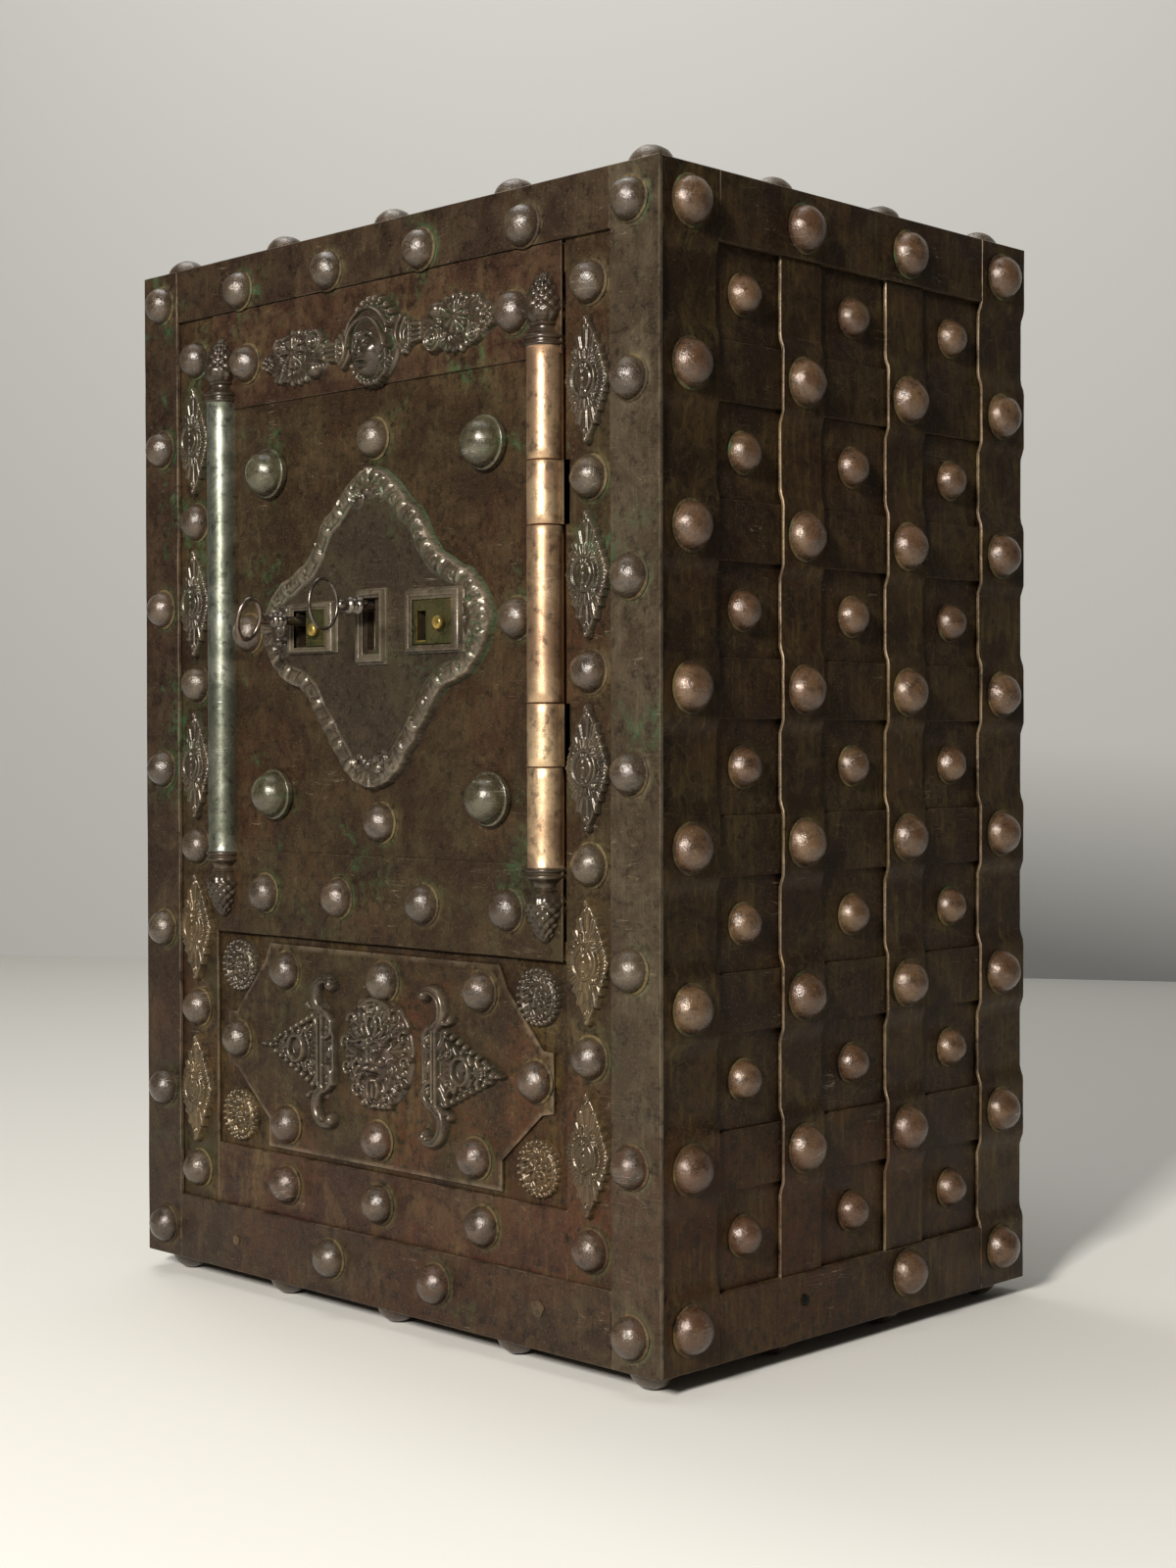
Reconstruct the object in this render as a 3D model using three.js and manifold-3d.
import * as THREE from 'three';
import { mergeVertices } from 'three/addons/utils/BufferGeometryUtils.js';
import Module from 'manifold-3d';

const wasm = await Module();
wasm.setup();

// An iron strongbox: boards clad in sheet iron, woven iron straps held by domed nails,
// a fixed lower panel and a door that hangs on its right column.
// Millimetres, +Z up, the front faces -Y. Body coordinates have x and y 0 at the middle of the box
// and z 0 at its lower edge. Face coordinates are across, up and out, with out 0 on the outer straps.

// Overall
const width = 490.5;
const depth = 356;
const height = 680;
const clearance = 0.3;
const overrun = 5;
const sink = 0.6;

// Nails
const nailSides = 8;
const plainNailSides = 5;
const frontNailRadius = 12.5;
const frontNailHeight = 12;
const cellNailRadius = 11.75;
const cellNailHeight = 11;
const crossingNailRadius = 14;
const crossingNailHeight = 12.5;
const footHeight = 12.5;
const footTipRadius = 5;
const nailShoulderShare = 0.72;
const weldDistance = 1e-3;

// Iron of the sides, back, top and floor
const strapThickness = 2.3;
const sheetThickness = 2;
const bandHeight = 35;
const edgeBandHeight = 40;
const strapWidth = 38;
const cornerStrapWidth = 48;
const strapSlope = 8;
const nailRows = 8;
const firstNailRow = 24;
const lastNailRowInset = 21.8;
const sideNailInset = 26.5;
const backNailInset = 21.75;
const lidNailInsetAcross = 16.75;
const lidNailInsetDeep = 20.5;
const lostNailRadius = 3;

// Iron of the front, as depths behind the outer straps
const frontStrapThickness = 3.4;
const frontStrapWidth = 38;
const topStrapHeight = 35;
const bottomStrapHeight = 44;
const plateBack = 6.2;
const plateThickness = 2.5;
const frontSheetThickness = 2;
const frontNailInset = 21.75;
const frontNailShares = [0.0309, 0.1721, 0.3346, 0.4971, 0.6596, 0.8221, 0.9684];
const topStrapNailShares = [-0.5505, -0.1713, 0.1916, 0.5627];
const topStrapNailInset = 23;
const bottomStrapNailShares = [-0.1753, 0.2365];
const bottomStrapNailUp = 24.5;
const jambInset = 76.95;
const stripNailFromJamb = 20.2;
const stripNailTopInset = 62.5;
const stripNailBottom = 64;
const stripNails = 6;
const rosetteHalfWidth = 13;
const rosetteHalfHeight = 31;
const rosetteHeight = 5;
const bottomStripTop = 84;
const bottomStripNailShares = [-0.5466, 0.0059, 0.5793];
const bottomStripNailUp = 65;

// Lower panel. Its corners are inset from the jamb and from its upper or lower edge
const panelBottomGap = 4;
const panelTopGap = 5;
const lowerCornerInsets = [
  [55.3, 0],
  [55.7, 18.3],
  [21.3, 49],
  [11.7, 51],
];
const upperCornerInsets = [
  [11.7, 48.5],
  [20.3, 48],
  [51.3, 13.4],
  [57.8, 0],
];
const panelNailInset = 17;
const panelSideNailInset = 24.8;
const upperPanelNailShares = [-0.5466, 0.0416, 0.5704];
const lowerPanelNailShares = [-0.5407, 0.0059, 0.5407];
const panelMiddleRise = 1.5;
const medallionInset = 24.2;
const medallionEdgeGap = 21.5;
const medallionRadius = 18;
const medallionHeight = 7;
const maskShare = 0.0119;
const maskRise = 6;
const maskHalfWidth = 36;
const maskHalfHeight = 38;
const maskHeight = 11;
const scrollShares = [-0.2496, 0.2971];
const scrollEndGap = 15.5;
const scrollHalfWidth = 14;
const scrollBand = 8;
const reliefHeight = 4;
const leafShares = [-0.5229, 0.5704];
const leafHalfLength = 22;
const leafHalfHeight = 20;
const cabochonRadius = 8;
const cabochonHeight = 7;

// Timber
const boardThickness = 31;
const frameThickness = 30;
const doorCoreThickness = 28;

// Door
const doorBottom = 228;
const doorGap = 0.6;
const doorSideGap = 0.9;
const shoulderInset = 7.3;
const coreGapLeft = 5;
const coreGapRight = 2.3;
const doorSheetFront = 3.2;
const bandFront = 1.2;
const bandThickness = 1.7;
const topBandHeight = 65.5;
const nailBandHeight = 56;
const topBandNailInset = 26.5;
const topBandNailDrop = 37;
const upperMainNailDrop = 33.1;
const lowerMainNailRise = 21.6;
const lowerMainNailShare = 0.035;
const sideMainNailInset = 26;
const nailBandNailShares = [-0.7814, -0.2464, 0.3309, 0.8589];
const nailBandNailRise = 28.5;
const headShare = 0.028;
const headDrop = 39;
const headHalfWidth = 14;
const headHalfHeight = 19;
const headHeight = 13;
const helmetHalfWidth = 20;
const helmetHalfHeight = 17;
const helmetHeight = 9;
const helmetRise = 11;
const flowerShares = [-0.4928, 0.5491];
const flowerRadius = 12;
const flowerHeight = 8;
const flowerLeafHalfLength = 19;
const flowerLeafHalfHeight = 13;
const flowerLeafHeight = 5;
const flowerLeafReach = 19;

// Columns, the right one being the hinge
const columnInset = 13.3;
const columnAxisDepth = 0.6;
const shaftRadius = 10.75;
const columnSides = 12;
const pinRadius = 4;
const pinReach = 30;
const runningGap = 0.35;
const collarRadius = 12.6;
const neckRadius = 7.5;
const coneRadius = 12.2;
const knuckleShares = [0.1913, 0.3154, 0.6592, 0.7846];
const shaftTopInset = 62;
const collarHeight = 6;
const collarStep = 1;
const neckHeight = 5;
const coneBaseHeight = 4;
const coneBellyHeight = 8;
const coneShoulderHeight = 14;
const coneHeight = 36;
const coneTipRadius = 3;
const armBack = 8;
const armFront = 2;
const armStart = 6;
const leafThickness = 3;
const leafDepth = 34;

// Escutcheon
const fieldHeight = 6;
const borderWidth = 7.5;
const escutcheonRise = 1.5;
const borderDrop = 1;
const escutcheonSideInset = 45;
const escutcheonTopInset = 51;
const escutcheonBottomInset = 42.7;
const escutcheonShares = [
  [0, 1],
  [0.218, 0.943],
  [0.336, 0.879],
  [0.459, 0.819],
  [0.582, 0.72],
  [0.727, 0.678],
  [0.891, 0.626],
  [1, 0.512],
  [0.891, 0.388],
  [0.727, 0.329],
  [0.561, 0.284],
  [0.418, 0.18],
  [0.309, 0.106],
  [0.155, 0.021],
];
const windowsUpShare = 0.507;
const frameLip = 3;

// The three keyholes. What lies round each is given from the middle of its key: left, right, below, above
const windows = {
  left: {
    share: -0.6,
    outer: [-12.8, 36, -16, 17],
    open: [-6.5, 25, -12, 12],
    keyhole: [-5, 4.5, -11, 11],
  },
  middle: {
    share: 0.0164,
    outer: [-12.1, 15.8, -24.5, 23],
    open: [-5.5, 11.2, -18, 17],
    keyhole: [-3.8, 3.8, -15, 16.5],
  },
  right: {
    share: 0.4668,
    outer: [-13.85, 37.95, -19, 21],
    open: [-7.75, 28.15, -14, 14],
    keyhole: [-4.05, 4.05, -11, 7],
  },
};
const shutterThickness = 1.4;
const shutters = {
  left: { leaf: [5.3, 24.7, -11.7, 11.7], button: [16.9, -1], travel: 4.5 },
  right: { leaf: [-7.45, 27.85, -13.7, 13.7], button: [19.95, -0.8], travel: 4.5 },
};
const buttonRadius = 4.3;
const buttonHeight = 6;
const buttonNeck = 2;
const buttonBelly = 3;

// Knobs, each by its distance in from the column beside it and from the band above or below it
const knobInsets = {
  top_left: [50, 46.5],
  top_right: [51, 45.5],
  bottom_left: [55, 38],
  bottom_right: [48, 38],
};
const knobSides = 9;
const knobRimRadius = 16.5;
const knobDomeRadius = 14.25;
const knobShoulderRadius = 12.4;
const knobCrownRadius = 7;
const knobRimFront = 1.5;
const knobShoulderFront = 8.25;
const knobCrownFront = 14;
const knobFront = 15;
const spindleRadius = 3;
const discRadius = 12;
const discDepths = [40, 45];

// Lock
const backPlateThickness = 2.5;
const backPlateInsets = [6, 16, 12, 13];
const caseInsets = [6, 40, 34, 35];
const caseBack = 62;
const caseWall = 2.5;
const boltDepths = [47, 57];
const boltEndInset = 38;
const boltHalfHeight = 8;
const boltTipInset = 9;
const boltLength = 28;
const carriageWidth = 18;
const tailReach = 16;
const tailRise = 15;
const tailHeight = 12;
const strikeInset = 3.75;
const strikeGap = 0.5;
const strikeEndInset = 18;
const strikeThickness = 2.5;

// Keys. The first is held a little above the middle of its keyhole, the second more so
const keySides = 8;
const leftKey = {
  rise: 5, shankRadius: 3, collarRadius: 4.5, collarOut: 24, collarLength: 13,
  bowOut: 45.6, bowAcross: 13, bowAlong: 8.6, wireRadius: 1.6, stemTipRadius: 2.4, tilt: 15,
};
const middleKey = {
  rise: 12, shankRadius: 3.5, collarRadius: 5.5, collarOut: 16.5, collarLength: 11,
  bowOut: 40, bowAcross: 15.4, bowAlong: 11, wireRadius: 1.1, stemTipRadius: 1.65, tilt: 0,
};
const bitLength = 9;
const bitThickness = 3;
const bitDepths = [39.5, 45];
const bowSegments = 12;
const bowWireSides = 5;

// Inside
const linerThickness = 1.5;
const shelfZ = 300;
const shelfThickness = 4;
const shelfFrontGap = 36;

// Worked out: the box
const halfWidth = width / 2;
const halfDepth = depth / 2;
const strapStep = strapThickness + clearance;
const sheetRecess = 2 * strapStep;
const coreRecess = sheetRecess + sheetThickness + clearance;
const lidRecess = strapStep + sheetThickness + clearance;
const plateFront = plateBack - plateThickness;
const frontSheetFront = plateBack + clearance;
const frontSheetBack = frontSheetFront + frontSheetThickness;
const frameFront = frontSheetBack + clearance;
const frameBack = frameFront + frameThickness;
const coreHalfWidth = halfWidth - coreRecess;
const sideFrontY = -halfDepth + frontStrapThickness + clearance;
const boardInner = coreHalfWidth - boardThickness;
const coreBackY = halfDepth - coreRecess;
const nailRowPitch = (height - firstNailRow - lastNailRowInset) / (nailRows - 1);
const sideNailPitch = (halfDepth - sideNailInset) * 2 / 3;
const backNailPitch = (coreHalfWidth - backNailInset) / 2;

// Worked out: the front
const jambX = halfWidth - jambInset;
const doorTop = height - topStrapHeight;
const doorHalfWidth = jambX - doorSideGap;
const leftShoulderX = shoulderInset - jambX;
const doorCoreLeft = leftShoulderX + coreGapLeft;
const doorCoreRight = jambX - coreGapRight;
const doorCoreFront = plateBack + clearance;
const doorCoreBack = doorCoreFront + doorCoreThickness;
const topBandBottom = doorTop - topBandHeight;
const nailBandTop = doorBottom + nailBandHeight;
const shaftTop = doorTop - shaftTopInset;
const shaftBottom = nailBandTop;
const columnX = jambX - columnInset;
const knuckleJoints = knuckleShares.map((share) => shaftBottom + share * (shaftTop - shaftBottom));
const boreRadius = pinRadius + runningGap;
const grooveRadius = shaftRadius + runningGap;
const collarGrooveRadius = collarRadius + runningGap;
const betweenColumns = columnX - collarGrooveRadius;
const escutcheonHalfWidth = columnX - escutcheonSideInset;
const escutcheonTop = topBandBottom - escutcheonTopInset;
const escutcheonBottom = nailBandTop + escutcheonBottomInset;
const windowsZ = escutcheonBottom + windowsUpShare * (escutcheonTop - escutcheonBottom);
const keyReach = leftKey.bowOut + leftKey.bowAlong + leftKey.wireRadius;
const bodyY = (keyReach - crossingNailHeight) / 2;

// A rectangle or a place round a keyhole, in face coordinates
const windowX = ({ share }) => share * escutcheonHalfWidth;
const roundKeyhole = (window, [x0, x1, z0, z1]) =>
  [windowX(window) + x0, windowX(window) + x1, windowsZ + z0, windowsZ + z1];
const keyholes = Object.values(windows).map((window) => roundKeyhole(window, window.keyhole));

// Knob places
const knobs = {};
for (const [name, [side, end]] of Object.entries(knobInsets)) {
  const x = name.endsWith('left') ? side - columnX : columnX - side;
  const z = name.startsWith('top') ? topBandBottom - end : nailBandTop + end;
  knobs[name] = [x, z];
}

// Materials
const iron = (name, color, roughness) =>
  new THREE.MeshStandardMaterial({ name, color, roughness, metalness: 0.7 });
const materials = {
  strap: iron('strap', 0x4a3a30, 0.55),
  nail: iron('nailed', 0x54463c, 0.5),
  sheet: iron('sheet', 0x40362b, 0.6),
  ornament: iron('ornament', 0x6a5535, 0.5),
  column: iron('column', 0x7d6a4a, 0.35),
  steel: iron('steel', 0x77736c, 0.35),
  timber: new THREE.MeshStandardMaterial({ name: 'timber', color: 0x9a7a50, roughness: 0.85 }),
};

// Solids
function solidOf(geometry) {
  const bare = geometry.clone();
  bare.deleteAttribute('normal');
  bare.deleteAttribute('uv');
  const merged = mergeVertices(bare, weldDistance);
  const triVerts = new Uint32Array(merged.index.array);
  const vertProperties = merged.attributes.position.array;
  return new wasm.Manifold(new wasm.Mesh({ numProp: 3, vertProperties, triVerts }));
}

function geometryOf(solid) {
  const mesh = solid.getMesh();
  const geometry = new THREE.BufferGeometry();
  geometry.setAttribute('position', new THREE.BufferAttribute(mesh.vertProperties, mesh.numProp));
  geometry.setIndex(new THREE.BufferAttribute(mesh.triVerts, 1));
  const faceted = geometry.toNonIndexed();
  faceted.computeVertexNormals();
  return faceted;
}

function join(base, additions) {
  let solid = solidOf(base);
  for (const addition of additions) solid = solid.add(solidOf(addition));
  return geometryOf(solid);
}

function cut(base, tools) {
  let solid = solidOf(base);
  for (const tool of tools) solid = solid.subtract(solidOf(tool));
  return geometryOf(solid);
}

// Primitives
function block([x0, x1], [y0, y1], [z0, z1]) {
  const geometry = new THREE.BoxGeometry(x1 - x0, y1 - y0, z1 - z0);
  return geometry.translate((x0 + x1) / 2, (y0 + y1) / 2, (z0 + z1) / 2);
}

// A block in face coordinates, given by its rectangle and its front and back depths
function slab([x0, x1, z0, z1], front, back) {
  return block([x0, x1], [z0, z1], [-back, -front]);
}

function plate(points, front, back) {
  const shape = new THREE.Shape(points.map(([x, z]) => new THREE.Vector2(x, z)));
  const geometry = new THREE.ExtrudeGeometry(shape, { depth: back - front, bevelEnabled: false });
  return geometry.translate(0, 0, -back);
}

// A turned piece on the out axis; its profile is [radius, out] from the back to the front
function turned(profile, sides) {
  const points = profile.map(([radius, out]) => new THREE.Vector2(radius, out));
  return new THREE.LatheGeometry(points, sides).rotateX(Math.PI / 2);
}

// The same on the up axis
function upright(profile, sides) {
  const points = profile.map(([radius, up]) => new THREE.Vector2(radius, up));
  return new THREE.LatheGeometry(points, sides);
}

function dome(radius, rise, sides) {
  const shoulder = nailShoulderShare;
  const shoulderRise = Math.sqrt(1 - shoulder * shoulder) * rise;
  return turned([[0, -sink], [radius, -sink], [radius * shoulder, shoulderRise], [0, rise]], sides);
}

function domeAt(x, z, depthBehind, radius, rise, sides = nailSides) {
  return dome(radius, rise, sides).translate(x, z, -depthBehind);
}

const frontNail = (x, z, depthBehind) => domeAt(x, z, depthBehind, frontNailRadius, frontNailHeight);

function ovalDomeAt([x, z], depthBehind, halfAcross, halfUp, rise) {
  const round = dome(halfAcross, rise, nailSides);
  return round.scale(1, halfUp / halfAcross, 1).translate(x, z, -depthBehind);
}

function cylinderBetween(x, z, radius, front, back, sides) {
  return turned([[0, -back], [radius, -back], [radius, -front], [0, -front]], sides).translate(x, z, 0);
}

// Scene graph
function face(x, y, z, position) {
  const group = new THREE.Group();
  group.setRotationFromMatrix(new THREE.Matrix4().makeBasis(x, y, z));
  group.position.copy(position);
  return group;
}

const X = new THREE.Vector3(1, 0, 0);
const Y = new THREE.Vector3(0, 1, 0);
const Z = new THREE.Vector3(0, 0, 1);
const safe = new THREE.Group();
safe.position.set(0, bodyY, footHeight);

const faces = {
  front: face(X, Z, Y.clone().negate(), new THREE.Vector3(0, -halfDepth, 0)),
  door: face(X, Z, Y.clone().negate(), new THREE.Vector3(0, -halfDepth, 0)),
  right: face(Y, Z, X, new THREE.Vector3(halfWidth, 0, 0)),
  left: face(Y.clone().negate(), Z, X.clone().negate(), new THREE.Vector3(-halfWidth, 0, 0)),
  back: face(X.clone().negate(), Z, Y, new THREE.Vector3(0, halfDepth, 0)),
  top: face(X, Y, Z, new THREE.Vector3(0, 0, height)),
  floor: face(X, Y.clone().negate(), Z.clone().negate(), new THREE.Vector3(0, 0, 0)),
};
for (const group of Object.values(faces)) safe.add(group);

function put(parent, name, geometry, material) {
  const mesh = new THREE.Mesh(geometry, material);
  mesh.name = name;
  parent.add(mesh);
}

// Timber carcass
const timberBottom = sheetThickness + clearance;
const timberTop = height - lidRecess;
const frameBackY = -halfDepth + frameBack;
const behindFrameY = frameBackY + clearance;
const boardY = [behindFrameY, coreBackY];
const innerBoardX = [-boardInner + clearance, boardInner - clearance];
const backBoardFront = coreBackY - boardThickness;
const betweenY = [behindFrameY, backBoardFront - clearance];
const timberZ = [timberBottom, timberTop];
const chestTop = timberTop - boardThickness;
const chestBottom = timberBottom + boardThickness;

put(safe, 'timber_left', block([-coreHalfWidth, -boardInner], boardY, timberZ), materials.timber);
put(safe, 'timber_right', block([boardInner, coreHalfWidth], boardY, timberZ), materials.timber);
put(safe, 'timber_top', block(innerBoardX, betweenY, [chestTop, timberTop]), materials.timber);
put(safe, 'timber_bottom', block(innerBoardX, betweenY, [timberBottom, chestBottom]), materials.timber);
put(safe, 'timber_back', block(innerBoardX, [backBoardFront, coreBackY], timberZ), materials.timber);

// The two short knuckles reach the jamb through these pockets
const knucklePairs = [
  [knuckleJoints[0], knuckleJoints[1]],
  [knuckleJoints[2], knuckleJoints[3]],
];
const hingeLeafX = [jambX + clearance, jambX + clearance + leafThickness];
const leafPockets = knucklePairs.map(([low, high]) =>
  slab(
    [jambX - overrun, hingeLeafX[1] + clearance, low + runningGap - clearance, high - runningGap + clearance],
    columnAxisDepth + armFront - clearance,
    leafDepth + clearance,
  ),
);

function frontFrame() {
  const doorway = slab([leftShoulderX, jambX, doorBottom, doorTop], 0, frameBack + overrun);
  const board = slab([-coreHalfWidth, coreHalfWidth, timberBottom, timberTop], frameFront, frameBack);
  return cut(board, [doorway, ...leafPockets]);
}
put(faces.front, 'front_frame', frontFrame(), materials.timber);

function frontSheet() {
  const whole = [-coreHalfWidth, coreHalfWidth, timberBottom, timberTop];
  const sheet = slab(whole, frontSheetFront, frontSheetBack);
  const lintel = slab(
    [-jambX + clearance, jambX - clearance, doorTop + clearance, timberTop],
    plateFront,
    frontSheetFront + sink,
  );
  const doorway = slab([leftShoulderX, jambX, doorBottom, doorTop], 0, frontSheetBack + overrun);
  const beads = [-1, 1].flatMap((side) =>
    [doorBottom - medallionEdgeGap, bottomStripTop + medallionEdgeGap].map((z) =>
      domeAt(side * (jambX - medallionInset), z, frontSheetFront, medallionRadius, medallionHeight),
    ),
  );
  return cut(join(sheet, [lintel, ...beads]), [doorway, ...leafPockets]);
}
put(faces.front, 'front_sheet', frontSheet(), materials.sheet);

// Fixed plates of the front
function sidePlate(side) {
  const strip = slab([jambX, coreHalfWidth, timberBottom, timberTop], plateFront, plateBack);
  const x = jambX + stripNailFromJamb;
  const top = height - stripNailTopInset;
  const pitch = (top - stripNailBottom) / (stripNails - 1);
  const ornaments = [];
  for (let i = 0; i < stripNails; i++) {
    ornaments.push(frontNail(x, top - i * pitch, plateFront));
    if (i === 0) continue;
    const between = [x, top - i * pitch + pitch / 2];
    ornaments.push(ovalDomeAt(between, plateFront, rosetteHalfWidth, rosetteHalfHeight, rosetteHeight));
  }
  const dressed = join(strip, ornaments);
  if (side > 0) return cut(dressed, leafPockets);
  return mirrored(dressed);
}

function mirrored(geometry) {
  const turnedRound = geometry.clone().scale(-1, 1, 1);
  const position = turnedRound.attributes.position.array;
  for (let i = 0; i < position.length; i += 9) {
    for (let k = 0; k < 3; k++) {
      const kept = position[i + 3 + k];
      position[i + 3 + k] = position[i + 6 + k];
      position[i + 6 + k] = kept;
    }
  }
  turnedRound.computeVertexNormals();
  return turnedRound;
}
put(faces.front, 'left_side_strip', sidePlate(-1), materials.nail);
put(faces.front, 'right_side_strip', sidePlate(1), materials.nail);

function bottomStrip() {
  const strip = slab(
    [-jambX + clearance, jambX - clearance, timberBottom, bottomStripTop],
    plateFront,
    plateBack,
  );
  const nails = bottomStripNailShares.map((share) => frontNail(share * jambX, bottomStripNailUp, plateFront));
  return join(strip, nails);
}
put(faces.front, 'bottom_strip', bottomStrip(), materials.nail);

// Lower panel: a many-sided plate with a mask between two C-scrolls, each with a leaf on its outer side
const panelBottom = bottomStripTop + panelBottomGap;
const panelTop = doorBottom - panelTopGap;
const panelMiddle = (panelBottom + panelTop) / 2 + panelMiddleRise;

function scroll(x, opening) {
  const shape = new THREE.Shape();
  const tall = (panelTop - panelBottom) / 2 - scrollEndGap;
  const [from, to] = [Math.PI / 3, (Math.PI * 5) / 3];
  shape.absellipse(0, 0, scrollHalfWidth, tall, from, to, false);
  shape.absellipse(0, 0, scrollHalfWidth - scrollBand, tall - scrollBand, to, from, true);
  const options = { depth: reliefHeight + sink, bevelEnabled: false, curveSegments: 8 };
  const geometry = new THREE.ExtrudeGeometry(shape, options);
  if (opening < 0) geometry.rotateZ(Math.PI);
  return geometry.translate(x, panelMiddle, -plateFront - sink);
}

function leafPiece(x, side) {
  const tip = [x + side * leafHalfLength, panelMiddle];
  const root = x - side * leafHalfLength;
  const points = [[root, panelMiddle - leafHalfHeight], tip, [root, panelMiddle + leafHalfHeight]];
  const ordered = side > 0 ? points : points.reverse();
  return plate(ordered, plateFront - reliefHeight, plateFront + sink);
}

function panelNails() {
  const upper = upperPanelNailShares.map((share) => [share * jambX, panelTop - panelNailInset]);
  const lower = lowerPanelNailShares.map((share) => [share * jambX, panelBottom + panelNailInset]);
  const sides = [-1, 1].map((side) => [side * (jambX - panelSideNailInset), panelMiddle]);
  return [...upper, ...lower, ...sides].map(([x, z]) => frontNail(x, z, plateFront));
}

function lowerPanel() {
  const lower = lowerCornerInsets.map(([side, edge]) => [jambX - side, panelBottom + edge]);
  const upper = upperCornerInsets.map(([side, edge]) => [jambX - side, panelTop - edge]);
  const right = [...lower, ...upper];
  const left = right.map(([x, z]) => [-x, z]).reverse();
  const base = plate([...right, ...left], plateFront, plateBack);
  const maskAt = [maskShare * jambX, panelMiddle + maskRise - panelMiddleRise];
  const relief = [ovalDomeAt(maskAt, plateFront, maskHalfWidth, maskHalfHeight, maskHeight)];
  for (const side of [-1, 1]) {
    const i = side < 0 ? 0 : 1;
    const leafX = leafShares[i] * jambX;
    relief.push(scroll(scrollShares[i] * jambX, -side));
    relief.push(leafPiece(leafX, side));
    relief.push(domeAt(leafX, panelMiddle, plateFront, cabochonRadius, cabochonHeight));
  }
  return join(base, [...panelNails(), ...relief]);
}
put(faces.front, 'lower_panel', lowerPanel(), materials.nail);

// Outer straps of the front
function cornerStrap(side) {
  const strapX = [halfWidth - frontStrapWidth, halfWidth].map((x) => side * x).sort((a, b) => a - b);
  const strap = slab([...strapX, 0, height], 0, frontStrapThickness);
  const nailX = side * (halfWidth - frontNailInset);
  return join(strap, frontNailShares.map((share) => frontNail(nailX, share * height, 0)));
}
put(faces.front, 'left_corner_strap', cornerStrap(-1), materials.strap);
put(faces.front, 'right_corner_strap', cornerStrap(1), materials.strap);

const betweenStraps = halfWidth - frontStrapWidth - clearance;
function crossStrap(bottom, top, nailShares, nailZ) {
  const strap = slab([-betweenStraps, betweenStraps, bottom, top], 0, frontStrapThickness);
  return join(strap, nailShares.map((share) => frontNail(share * halfWidth, nailZ, 0)));
}
const topStrap = crossStrap(doorTop, height, topStrapNailShares, height - topStrapNailInset);
const bottomStrap = crossStrap(0, bottomStrapHeight, bottomStrapNailShares, bottomStrapNailUp);
put(faces.front, 'top_strap', topStrap, materials.strap);
put(faces.front, 'bottom_strap', bottomStrap, materials.strap);

// Sides and back: a sheet with level bands, and upright straps woven over the bands
const rowZ = [];
for (let i = 0; i < nailRows; i++) rowZ.push(firstNailRow + i * nailRowPitch);
const bands = rowZ.map((z, i) => {
  if (i === 0) return [0, edgeBandHeight];
  if (i === nailRows - 1) return [height - edgeBandHeight, height];
  return [z - bandHeight / 2, z + bandHeight / 2];
});

// Runs up the strap: over each band given it is out on top of it, elsewhere it lies on the sheet
function wovenStrap(wide, bottom, top, over) {
  const high = 0;
  const low = -strapStep;
  const line = [];
  for (const [from, to] of over) {
    if (from > bottom) line.push([from - strapSlope, low], [from - clearance, high]);
    else line.push([bottom, high]);
    if (to < top) line.push([to + clearance, high], [to + strapSlope, low]);
    else line.push([top, high]);
  }
  if (over[0][0] > bottom) line.unshift([bottom, low]);
  if (over[over.length - 1][1] < top) line.push([top, low]);
  const inner = line.map(([z, out]) => [z, out - strapThickness]).reverse();
  const shape = new THREE.Shape([...line, ...inner].map(([z, out]) => new THREE.Vector2(z, out)));
  const geometry = new THREE.ExtrudeGeometry(shape, { depth: wide, bevelEnabled: false });
  const toFace = new THREE.Matrix4().makeBasis(Y, Z, X);
  return geometry.translate(0, 0, -wide / 2).applyMatrix4(toFace);
}

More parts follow.
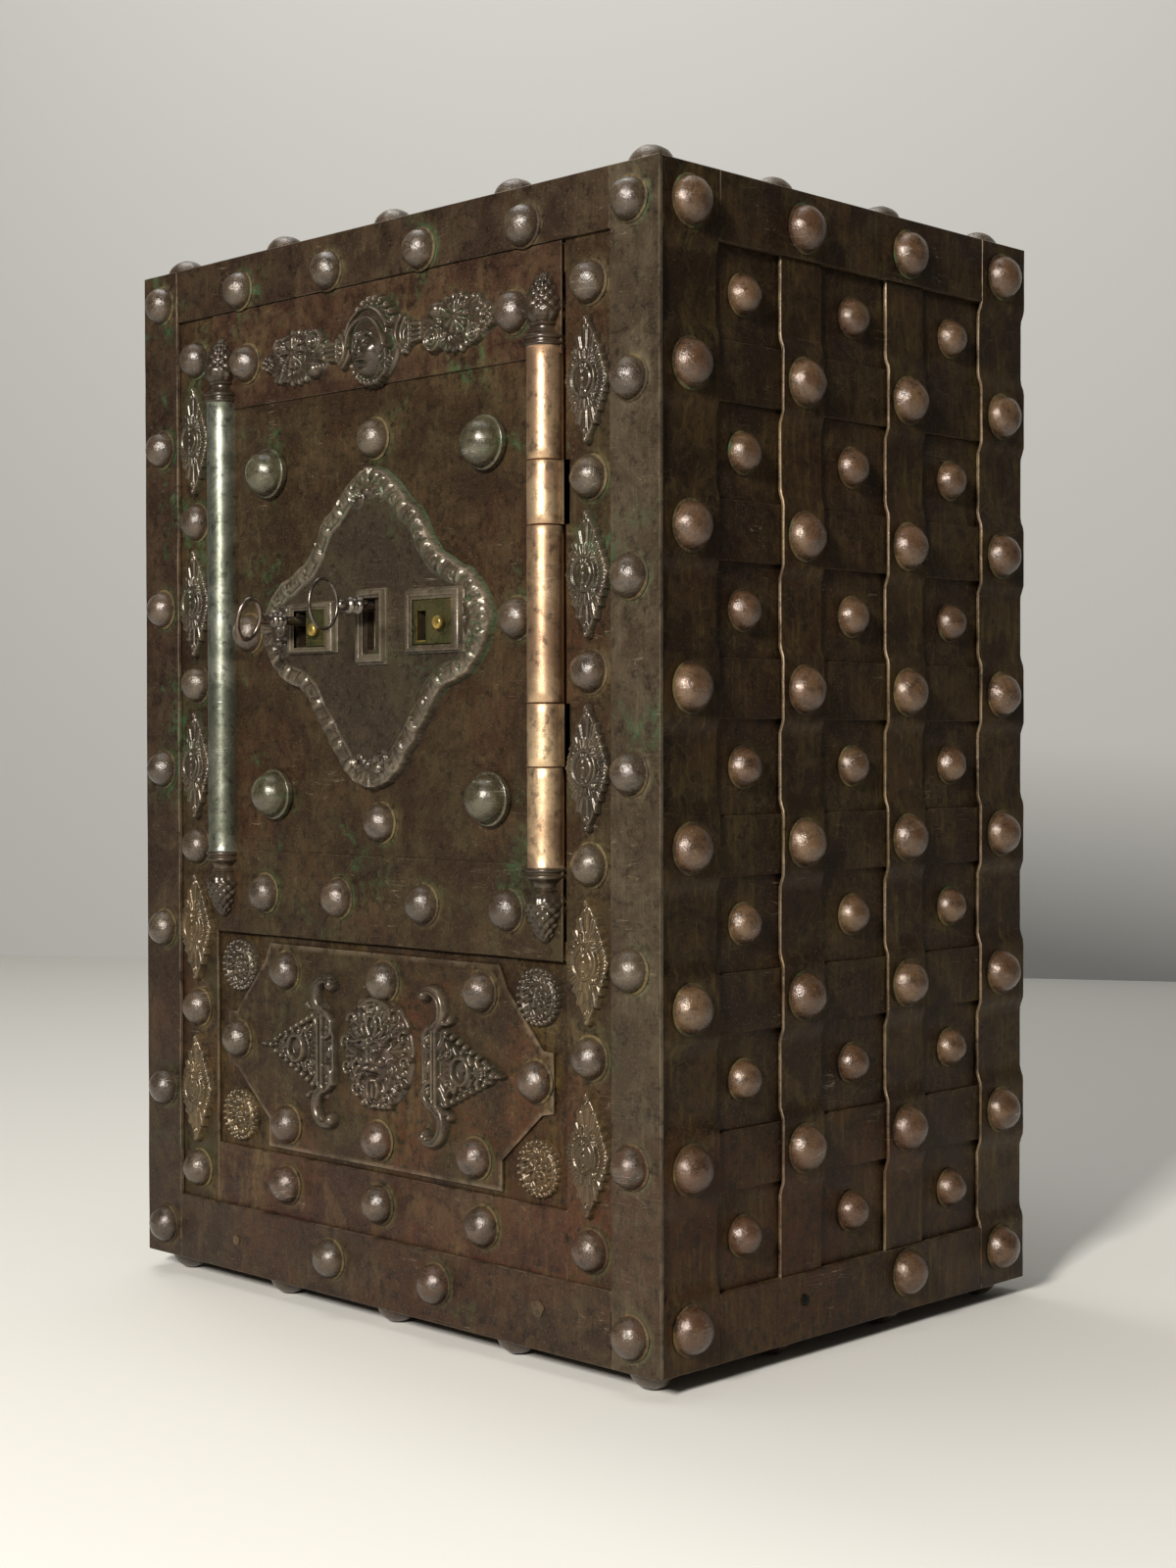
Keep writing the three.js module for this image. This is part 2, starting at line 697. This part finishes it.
// One clad face: its half-widths at the left and right, and the places of its inner straps
function cladFace({ name, group, from, to, low: bottom, high: top, inner, corners, cells, sides, lost }) {
  const sheet = slab([from, to, bottom, top], sheetRecess, sheetRecess + sheetThickness);
  const half = strapWidth / 2 + clearance;
  const raised = [];
  const channels = [];
  const lastBand = nailRows - 1;
  const levels = bands.map(([low, high]) => [Math.max(low, bottom), Math.min(high, top)]);
  levels.forEach(([low, high], i) => {
    raised.push(slab([from, to, low, high], strapStep, sheetRecess + sink));
    if (i > 0 && i < lastBand) return;
    const front = [from + corners + clearance, to - corners - clearance, low, high];
    raised.push(slab(front, 0, strapStep + sink));
    for (const x of inner) {
      channels.push(slab([x - half, x + half, low - overrun, high + overrun], strapThickness, sheetRecess));
      if (!lost || lost.row !== i || lost.x !== x) continue;
      channels.push(cylinderBetween(x, rowZ[i], lostNailRadius, -overrun, strapThickness + overrun, sides));
    }
  });
  let clad = cut(join(sheet, raised), channels);
  const heads = [];
  for (const x of inner) {
    for (const i of [0, lastBand]) {
      if (lost && lost.row === i && lost.x === x) continue;
      heads.push(domeAt(x, rowZ[i], 0, crossingNailRadius, crossingNailHeight, sides));
    }
  }
  for (const x of cells) {
    for (let i = 0; i < lastBand; i++) {
      const z = (rowZ[i] + rowZ[i + 1]) / 2;
      heads.push(domeAt(x, z, sheetRecess, cellNailRadius, cellNailHeight, sides));
    }
  }
  clad = join(clad, heads);
  put(group, `${name}_sheet`, clad, materials.sheet);

  const places = [from + corners / 2, ...inner, to - corners / 2];
  places.forEach((x, i) => {
    const atCorner = i === 0 || i === places.length - 1;
    const over = atCorner ? levels : levels.slice(1, lastBand);
    const wide = atCorner ? corners : strapWidth;
    const strap = wovenStrap(wide, bottom, top, over).translate(x, 0, 0);
    const rows = atCorner ? rowZ : rowZ.slice(1, lastBand);
    const headX = atCorner ? cornerNail(inner, i) : x;
    const nails = rows.map((z) => domeAt(headX, z, 0, crossingNailRadius, crossingNailHeight, sides));
    put(group, `${name}_strap_${i + 1}`, join(strap, nails), materials.strap);
  });
}

// The corner nails keep the spacing of the inner ones
function cornerNail(inner, i) {
  const pitch = inner[1] - inner[0];
  return i === 0 ? inner[0] - pitch : inner[inner.length - 1] + pitch;
}

const sideClad = {
  low: 0,
  high: height,
  inner: [-sideNailPitch / 2, sideNailPitch / 2],
  corners: cornerStrapWidth,
  cells: [-sideNailPitch, 0, sideNailPitch],
};
cladFace({
  ...sideClad, name: 'right', group: faces.right, from: sideFrontY, to: halfDepth, sides: nailSides,
  lost: { row: 0, x: sideClad.inner[0] },
});
cladFace({
  ...sideClad, name: 'left', group: faces.left, from: -halfDepth, to: -sideFrontY, sides: plainNailSides,
});
cladFace({
  name: 'back',
  group: faces.back,
  from: -coreHalfWidth,
  to: coreHalfWidth,
  low: timberBottom,
  high: timberTop,
  inner: [-backNailPitch, 0, backNailPitch],
  corners: cornerStrapWidth,
  cells: [-3 / 2, -1 / 2, 1 / 2, 3 / 2].map((i) => i * backNailPitch),
  sides: plainNailSides,
});

// Top: a sheet under four straps. Floor: one sheet; its nail heads are worn flat at their tips
const lidAcross = [-1, -1 / 2, 0, 1 / 2, 1].map((i) => i * (coreHalfWidth - lidNailInsetAcross));
const lidDeep = [-1, -1 / 3, 1 / 3, 1].map((i) => i * (halfDepth - lidNailInsetDeep));

function footNail(x, y) {
  const shoulder = nailShoulderShare;
  const profile = [
    [0, -sink],
    [crossingNailRadius, -sink],
    [crossingNailRadius * shoulder, Math.sqrt(1 - shoulder * shoulder) * footHeight],
    [footTipRadius, footHeight],
    [0, footHeight],
  ];
  return turned(profile, plainNailSides).translate(x, y, 0);
}

function nailGrid(nail) {
  return lidAcross.flatMap((x) => lidDeep.map((y) => nail(x, y)));
}

function topCladding() {
  const whole = [-coreHalfWidth, coreHalfWidth, sideFrontY, halfDepth];
  const sheet = slab(whole, strapStep, lidRecess - clearance);
  const half = strapWidth / 2;
  const straps = lidDeep.map((y) =>
    slab([-coreHalfWidth, coreHalfWidth, Math.max(y - half, sideFrontY), y + half], 0, strapStep + sink),
  );
  const head = (x, y) => domeAt(x, y, 0, crossingNailRadius, crossingNailHeight, plainNailSides);
  return join(sheet, [...straps, ...nailGrid(head)]);
}
put(faces.top, 'top_cladding', topCladding(), materials.strap);

function floorCladding() {
  const sheet = slab([-coreHalfWidth, coreHalfWidth, -halfDepth, -sideFrontY], 0, sheetThickness);
  return join(sheet, nailGrid(footNail));
}
put(faces.floor, 'floor_cladding', floorCladding(), materials.strap);

// Liner and shelf
const chestX = [-boardInner + clearance, boardInner - clearance];
const chestY = [behindFrameY, backBoardFront - clearance];
const chestZ = [chestBottom + clearance, chestTop - clearance];
const inset = ([low, high], by) => [low + by, high - by];

function liner() {
  const outer = block(chestX, chestY, chestZ);
  const hollow = block(
    inset(chestX, linerThickness),
    [chestY[0] - overrun, chestY[1] - linerThickness],
    inset(chestZ, linerThickness),
  );
  return cut(outer, [hollow]);
}
put(safe, 'liner', liner(), materials.sheet);
const shelfX = inset(chestX, linerThickness + clearance);
const shelfY = [chestY[0] + shelfFrontGap, chestY[1] - linerThickness - clearance];
put(safe, 'shelf', block(shelfX, shelfY, [shelfZ, shelfZ + shelfThickness]), materials.timber);

// Strike plate behind the left jamb
const strikeFront = frameBack + clearance;
const strikeZ = [doorBottom + caseInsets[2] + strikeEndInset, doorTop - caseInsets[3] - strikeEndInset];
const strikeOuter = [strikeInset - boardInner, leftShoulderX - strikeGap, ...strikeZ];
const strikePlate = slab(strikeOuter, strikeFront, strikeFront + strikeThickness);
put(faces.front, 'strike_plate', strikePlate, materials.steel);

// Hinge: short knuckles on the frame, long ones on the door, one pin through all
function tube(bottom, top, outerRadius) {
  const outer = upright([[0, bottom], [outerRadius, bottom], [outerRadius, top], [0, top]], columnSides);
  const bore = upright(
    [[0, bottom - overrun], [boreRadius, bottom - overrun], [boreRadius, top + overrun], [0, top + overrun]],
    columnSides,
  );
  return { outer, bore };
}

const onHinge = (geometry) => geometry.translate(columnX, 0, -columnAxisDepth);

function frameKnuckle([low, high]) {
  const z0 = low + runningGap;
  const z1 = high - runningGap;
  const { outer, bore } = tube(z0, z1, shaftRadius);
  const arm = slab(
    [columnX + armStart, hingeLeafX[1], z0, z1],
    columnAxisDepth + armFront,
    columnAxisDepth + armBack,
  );
  const leaf = slab([...hingeLeafX, z0, z1], columnAxisDepth + armFront, leafDepth);
  return cut(join(onHinge(outer), [arm, leaf]), [onHinge(bore)]);
}
put(faces.front, 'frame_knuckle_lower', frameKnuckle(knucklePairs[0]), materials.column);
put(faces.front, 'frame_knuckle_upper', frameKnuckle(knucklePairs[1]), materials.column);

// The finial above the shaft, as [radius, distance from the shaft's end]
const neckStart = collarHeight + 2 * collarStep;
const coneStart = neckStart + neckHeight;
const finial = [
  [collarRadius, collarStep],
  [collarRadius, collarStep + collarHeight],
  [neckRadius, neckStart],
  [neckRadius, coneStart],
  [coneRadius, coneStart + coneBaseHeight],
  [coneRadius, coneStart + coneBaseHeight + coneBellyHeight],
  [coneRadius / 2, coneStart + coneBaseHeight + coneBellyHeight + coneShoulderHeight],
  [coneTipRadius, coneHeight + collarHeight],
  [0, coneHeight + neckStart],
];

function columnPiece(bottom, top, finials) {
  const profile = [[0, bottom], [shaftRadius, bottom], [shaftRadius, top], [0, top]];
  if (finials.top) {
    profile.splice(3, 1, ...finial.map(([radius, away]) => [radius, top + away]));
  }
  if (finials.bottom) {
    const down = finial.map(([radius, away]) => [radius, bottom - away]).reverse();
    profile.splice(0, 1, ...down);
  }
  return upright(profile, columnSides);
}
// The left column has the same outline, but is flat where it lies on the door
function leftColumn() {
  const round = columnPiece(shaftBottom, shaftTop, { top: true, bottom: true });
  const behind = slab([-halfWidth, 0, 0, height], doorSheetFront - clearance, frameBack);
  return cut(round.translate(-columnX, 0, -columnAxisDepth), [behind]);
}
put(faces.door, 'left_column', leftColumn(), materials.column);

const [j0, j1, j2, j3] = knuckleJoints;
const pinBottom = j0 - pinReach;
const pinTop = j3 + pinReach;
const rod = (radius, low, high) =>
  upright([[0, low], [radius, low], [radius, high], [0, high]], columnSides);
function doorKnuckle(bottom, top, finials) {
  const low = finials.bottom ? bottom : bottom + runningGap;
  const high = finials.top ? top : top - runningGap;
  const boreLow = Math.max(low - overrun, pinBottom - clearance);
  const boreHigh = Math.min(high + overrun, pinTop + clearance);
  return cut(onHinge(columnPiece(low, high, finials)), [onHinge(rod(boreRadius, boreLow, boreHigh))]);
}
put(faces.door, 'door_knuckle_bottom', doorKnuckle(shaftBottom, j0, { bottom: true }), materials.column);
put(faces.door, 'door_knuckle_middle', doorKnuckle(j1, j2, {}), materials.column);
put(faces.door, 'door_knuckle_top', doorKnuckle(j3, shaftTop, { top: true }), materials.column);
put(faces.front, 'hinge_pin', onHinge(rod(pinRadius, pinBottom, pinTop)), materials.steel);

// Door
const doorSheetZ = [doorBottom + doorGap, doorTop - doorGap];
const coreZ = [doorBottom + 2 * doorGap, doorTop - 2 * doorGap];

// The door is cut back round the hinge column and to the right of it, so that the frame's arms pass
const finialReach = coneHeight + neckStart + clearance;
const finialSpans = [
  [shaftBottom - finialReach, shaftBottom],
  [shaftTop, shaftTop + finialReach],
];
const groove = (radius, [low, high], x) =>
  upright([[0, low], [radius, low], [radius, high], [0, high]], columnSides * 2).translate(
    x, 0, -columnAxisDepth,
  );
const finialGrooves = (x) => finialSpans.map((span) => groove(collarGrooveRadius, span, x));
const shaftGroove = (x) => groove(grooveRadius, [shaftBottom - clearance, shaftTop + clearance], x);
const outerSide = (x0, x1) =>
  slab([x0, x1, finialSpans[0][0], finialSpans[1][1]], -overrun, columnAxisDepth + collarGrooveRadius);
const hingeCuts = [
  shaftGroove(columnX),
  ...finialGrooves(columnX),
  outerSide(columnX, jambX),
];
const leftBandCuts = [
  shaftGroove(-columnX),
  ...finialGrooves(-columnX),
  outerSide(-jambX, -columnX),
];
const spindleHoles = Object.values(knobs).map(([x, z]) =>
  cylinderBetween(x, z, spindleRadius + runningGap, -overrun, caseBack, knobSides),
);
const keyWays = keyholes.map((rectangle) => slab(rectangle, -overrun - fieldHeight, caseBack));

function doorSheet() {
  const sheet = slab([-doorHalfWidth, doorHalfWidth, ...doorSheetZ], doorSheetFront, plateBack);
  const bare = cut(sheet, [...hingeCuts, ...spindleHoles, ...keyWays]);
  const sideNails = [-1, 1].map((side) => [side * (columnX - sideMainNailInset), windowsZ]);
  const nails = [
    [0, topBandBottom - upperMainNailDrop],
    [lowerMainNailShare * betweenColumns, nailBandTop + lowerMainNailRise],
    ...sideNails,
  ];
  return join(bare, nails.map(([x, z]) => frontNail(x, z, doorSheetFront)));
}
put(faces.door, 'door_sheet', doorSheet(), materials.sheet);

function doorCore() {
  const core = slab([doorCoreLeft, doorCoreRight, ...coreZ], doorCoreFront, doorCoreBack);
  return cut(core, [...hingeCuts, ...spindleHoles, ...keyWays]);
}
put(faces.door, 'door_core', doorCore(), materials.timber);

function doorBand([low, high], nails, nailZ, extra) {
  const band = slab([-doorHalfWidth, doorHalfWidth, low, high], bandFront, bandFront + bandThickness);
  const relief = nails.map((x) => frontNail(x, nailZ, bandFront));
  return join(cut(band, [...hingeCuts, ...leftBandCuts]), [...relief, ...extra]);
}

function headAndFlowers() {
  const x = headShare * betweenColumns;
  const z = doorTop - headDrop;
  const pieces = [
    ovalDomeAt([x, z], bandFront, headHalfWidth, headHalfHeight, headHeight),
    ovalDomeAt([x, z + helmetRise], bandFront, helmetHalfWidth, helmetHalfHeight, helmetHeight),
  ];
  for (const share of flowerShares) {
    const centre = share * betweenColumns;
    pieces.push(domeAt(centre, z, bandFront, flowerRadius, flowerHeight));
    for (const side of [-1, 1]) {
      const at = [centre + side * flowerLeafReach, z];
      pieces.push(ovalDomeAt(at, bandFront, flowerLeafHalfLength, flowerLeafHalfHeight, flowerLeafHeight));
    }
  }
  return pieces;
}
const topBandSpan = [topBandBottom, doorSheetZ[1]];
const topBandNails = [-1, 1].map((side) => side * (columnX - topBandNailInset));
const topBand = doorBand(topBandSpan, topBandNails, doorTop - topBandNailDrop, headAndFlowers());
put(faces.door, 'door_top_band', topBand, materials.ornament);
const nailBandSpan = [doorSheetZ[0], nailBandTop];
const nailBandNails = nailBandNailShares.map((share) => share * betweenColumns);
const nailBand = doorBand(nailBandSpan, nailBandNails, doorBottom + nailBandNailRise, []);
put(faces.door, 'door_nail_band', nailBand, materials.nail);

// Back of the door: plate, lock case, bolts
const backPlateFront = doorCoreBack + clearance;
const backPlateBack = backPlateFront + backPlateThickness;
const keys = [
  { name: 'left_key', x: windowX(windows.left), z: windowsZ + leftKey.rise, ...leftKey },
  { name: 'middle_key', x: windowX(windows.middle), z: windowsZ + middleKey.rise, ...middleKey },
];

// Room inside the door, from its core's left and right sides and its bottom and top
const insideDoor = ([left, right, bottom, top]) =>
  [doorCoreLeft + left, doorCoreRight - right, doorBottom + bottom, doorTop - top];

// A round hole that guides a key's shank, with a slot below it for the bit
function keyGuide({ x, z, shankRadius }) {
  const half = bitThickness / 2 + clearance;
  return [
    cylinderBetween(x, z, shankRadius + clearance, doorCoreBack, caseBack, columnSides),
    slab([x - half, x + half, z - shankRadius - bitLength - clearance, z], doorCoreBack, caseBack),
  ];
}
const guides = [...keys.flatMap(keyGuide), slab(keyholes[2], doorCoreBack, caseBack)];
const backPlate = slab(insideDoor(backPlateInsets), backPlateFront, backPlateBack);
put(faces.door, 'door_back_plate', cut(backPlate, [...spindleHoles, ...guides]), materials.sheet);

const caseFront = backPlateBack + clearance;
const caseOuter = insideDoor(caseInsets);
const lowBolt = caseOuter[2] + boltEndInset;
const highBolt = caseOuter[3] - boltEndInset;
const boltRows = [lowBolt, (lowBolt + highBolt) / 2, highBolt];
function lockCase() {
  const [x0, x1, z0, z1] = caseOuter;
  const outer = slab(caseOuter, caseFront, caseBack);
  const hollow = slab(
    [x0 + caseWall, x1 - caseWall, z0 + caseWall, z1 - caseWall],
    caseFront - overrun,
    caseBack - caseWall,
  );
  const slots = boltRows.map((z) =>
    slab(
      [x0 - overrun, x0 + caseWall + overrun, z - boltHalfHeight - clearance, z + boltHalfHeight + clearance],
      boltDepths[0] - clearance,
      boltDepths[1] + clearance,
    ),
  );
  return cut(outer, [hollow, ...slots]);
}
put(faces.door, 'lock_case', lockCase(), materials.steel);

function boltCarriage() {
  const tip = leftShoulderX + boltTipInset;
  const barLeft = tip + boltLength;
  const barRight = barLeft + carriageWidth;
  const bar = slab([barLeft, barRight, lowBolt - boltHalfHeight, highBolt + boltHalfHeight], ...boltDepths);
  const bolts = boltRows.map((z) =>
    slab([tip, barLeft + sink, z - boltHalfHeight, z + boltHalfHeight], ...boltDepths),
  );
  const [{ x, z }] = keys;
  const tailLow = z + tailRise;
  const tail = slab([barRight - sink, x + tailReach, tailLow, tailLow + tailHeight], ...boltDepths);
  return join(bar, [...bolts, tail]);
}
put(faces.door, 'bolt_carriage', boltCarriage(), materials.steel);

// Combination knobs, each in one piece with its spindle and disc
function knob() {
  const back = doorSheetFront - clearance;
  const profile = [
    [0, -discDepths[1]],
    [discRadius, -discDepths[1]],
    [discRadius, -discDepths[0]],
    [spindleRadius, -discDepths[0]],
    [spindleRadius, -back],
    [knobRimRadius, -back],
    [knobRimRadius, knobRimFront],
    [knobDomeRadius, knobRimFront],
    [knobShoulderRadius, knobShoulderFront],
    [knobCrownRadius, knobCrownFront],
    [0, knobFront],
  ];
  return turned(profile, knobSides);
}
for (const [name, [x, z]] of Object.entries(knobs)) {
  const mesh = new THREE.Mesh(knob(), materials.column);
  mesh.name = `knob_${name}`;
  mesh.position.set(x, z, 0);
  faces.door.add(mesh);
}

// Escutcheon: a raised field with a sloping border round its outline
const escutcheonPoints = escutcheonShares.map(([across, up]) => [
  across * escutcheonHalfWidth,
  escutcheonBottom + up * (escutcheonTop - escutcheonBottom),
]);
const outlineLeft = escutcheonPoints.slice(1).map(([x, z]) => [-x, z]).reverse();
const outline = [...outlineLeft, ...escutcheonPoints, [0, escutcheonBottom]].reverse();

function insetOutline(points, by) {
  return points.map((point, i) => {
    const before = new THREE.Vector2(...points[(i + points.length - 1) % points.length]);
    const here = new THREE.Vector2(...point);
    const after = new THREE.Vector2(...points[(i + 1) % points.length]);
    const a = here.clone().sub(before).normalize();
    const b = after.sub(here).normalize();
    const inward = new THREE.Vector2(-a.y - b.y, a.x + b.x).normalize();
    const miter = by / Math.max(inward.dot(new THREE.Vector2(-a.y, a.x)), 1 / 2);
    return [here.x + inward.x * miter, here.y + inward.y * miter];
  });
}

// Closed skin through rings of the same number of points, each ring at its own height
function loft(rings) {
  const positions = [];
  const vertex = ([x, y], out) => [x, y, out];
  const triangle = (a, b, c) => positions.push(...a, ...b, ...c);
  for (let r = 0; r + 1 < rings.length; r++) {
    const low = rings[r];
    const high = rings[r + 1];
    for (let i = 0; i < low.points.length; i++) {
      const j = (i + 1) % low.points.length;
      const [a, b] = [vertex(low.points[i], low.out), vertex(low.points[j], low.out)];
      const [c, d] = [vertex(high.points[i], high.out), vertex(high.points[j], high.out)];
      triangle(a, b, d);
      triangle(a, d, c);
    }
  }
  const ends = [
    [rings[0], true],
    [rings[rings.length - 1], false],
  ];
  for (const [ring, back] of ends) {
    const flat = ring.points.map(([x, y]) => new THREE.Vector2(x, y));
    for (const [i, j, k] of THREE.ShapeUtils.triangulateShape(flat, [])) {
      const [a, b, c] = [i, j, k].map((n) => vertex(ring.points[n], ring.out));
      if (back) triangle(a, c, b);
      else triangle(a, b, c);
    }
  }
  const geometry = new THREE.BufferGeometry();
  geometry.setAttribute('position', new THREE.Float32BufferAttribute(positions, 3));
  return geometry;
}

const escutcheonBack = doorSheetFront - clearance;
const fieldFront = doorSheetFront - fieldHeight;
const shutterBack = fieldFront - clearance;
const shutterFront = shutterBack - shutterThickness;
function escutcheon() {
  const body = loft([
    { points: outline, out: -escutcheonBack },
    { points: outline, out: -escutcheonBack + escutcheonRise },
    { points: insetOutline(outline, borderWidth / 2), out: -fieldFront - borderDrop },
    { points: insetOutline(outline, borderWidth), out: -fieldFront },
  ]);
  const frames = Object.values(windows).map((window) =>
    slab(roundKeyhole(window, window.outer), fieldFront - frameLip - borderDrop, fieldFront + sink),
  );
  const openings = Object.values(windows).map((window) =>
    slab(roundKeyhole(window, window.open), fieldFront - overrun, fieldFront),
  );
  const slides = Object.entries(shutters).map(([name, { leaf: [x0, x1, z0, z1], travel }]) => {
    const room = [x0 - clearance, x1 + travel + clearance, z0 - clearance, z1 + clearance];
    return slab(roundKeyhole(windows[name], room), shutterFront - clearance, fieldFront);
  });
  return cut(join(body, frames), [...openings, ...slides, ...keyWays]);
}
put(faces.door, 'escutcheon', escutcheon(), materials.ornament);

// Keyhole covers: plates that slide to the right under the frame, with a button to push them by
function shutter(name, pierced) {
  const window = windows[name];
  const { leaf, button: [across, up] } = shutters[name];
  const button = turned(
    [[0, -sink], [buttonNeck, -sink], [buttonNeck, buttonBelly / 2], [buttonRadius, buttonBelly],
      [buttonNeck, buttonHeight], [0, buttonHeight]],
    nailSides,
  ).translate(windowX(window) + across, windowsZ + up, -shutterFront);
  const whole = join(slab(roundKeyhole(window, leaf), shutterFront, shutterBack), [button]);
  if (!pierced) return whole;
  return cut(whole, [slab(roundKeyhole(window, window.keyhole), fieldFront - overrun, fieldFront + overrun)]);
}
put(faces.door, 'left_keyhole_cover', shutter('left', false), materials.ornament);
put(faces.door, 'right_keyhole_cover', shutter('right', true), materials.ornament);

// Keys: shank, ringed collar, wire bow and bit, with the bow and the bit in one plane
function ovalRing({ bowAcross, bowAlong, wireRadius }) {
  const positions = [];
  const index = [];
  for (let i = 0; i < bowSegments; i++) {
    const turn = (i / bowSegments) * Math.PI * 2;
    const centre = new THREE.Vector3(0, Math.cos(turn) * bowAcross, Math.sin(turn) * bowAlong);
    const outward = new THREE.Vector3(0, Math.cos(turn) * bowAlong, Math.sin(turn) * bowAcross).normalize();
    for (let k = 0; k < bowWireSides; k++) {
      const round = (k / bowWireSides) * Math.PI * 2;
      const point = centre.clone().addScaledVector(outward, Math.cos(round) * wireRadius);
      positions.push(point.x + Math.sin(round) * wireRadius, point.y, point.z);
      const next = (k + 1) % bowWireSides;
      const [a, b] = [i * bowWireSides + k, i * bowWireSides + next];
      const after = ((i + 1) % bowSegments) * bowWireSides;
      const [c, d] = [after + k, after + next];
      index.push(a, c, b, b, c, d);
    }
  }
  const geometry = new THREE.BufferGeometry();
  geometry.setAttribute('position', new THREE.Float32BufferAttribute(positions, 3));
  geometry.setIndex(index);
  return geometry;
}

function key(size) {
  const { shankRadius, collarRadius: collar, collarOut, collarLength, bowOut, bowAlong } = size;
  const bowBase = bowOut - bowAlong;
  const low = collarOut - collarLength / 2;
  const high = collarOut + collarLength / 2;
  const step = collarLength / 4;
  const tip = -bitDepths[1];
  const profile = [
    [0, tip],
    [shankRadius, tip],
    [shankRadius, low],
    [collar, low + step],
    [shankRadius, low + 2 * step],
    [collar, high - step],
    [shankRadius, high],
    [size.stemTipRadius, bowBase],
    [0, bowBase],
  ];
  const half = bitThickness / 2;
  const bit = block([-half, half], [-shankRadius - bitLength, 0], [tip, -bitDepths[0]]);
  return join(turned(profile, keySides), [bit, ovalRing(size).translate(0, 0, bowOut)]);
}
for (const size of keys) {
  const mesh = new THREE.Mesh(key(size), materials.column);
  mesh.name = size.name;
  mesh.position.set(size.x, size.z, 0);
  mesh.rotation.z = THREE.MathUtils.degToRad(-size.tilt);
  faces.door.add(mesh);
}

safe.updateMatrixWorld(true);
export default safe;
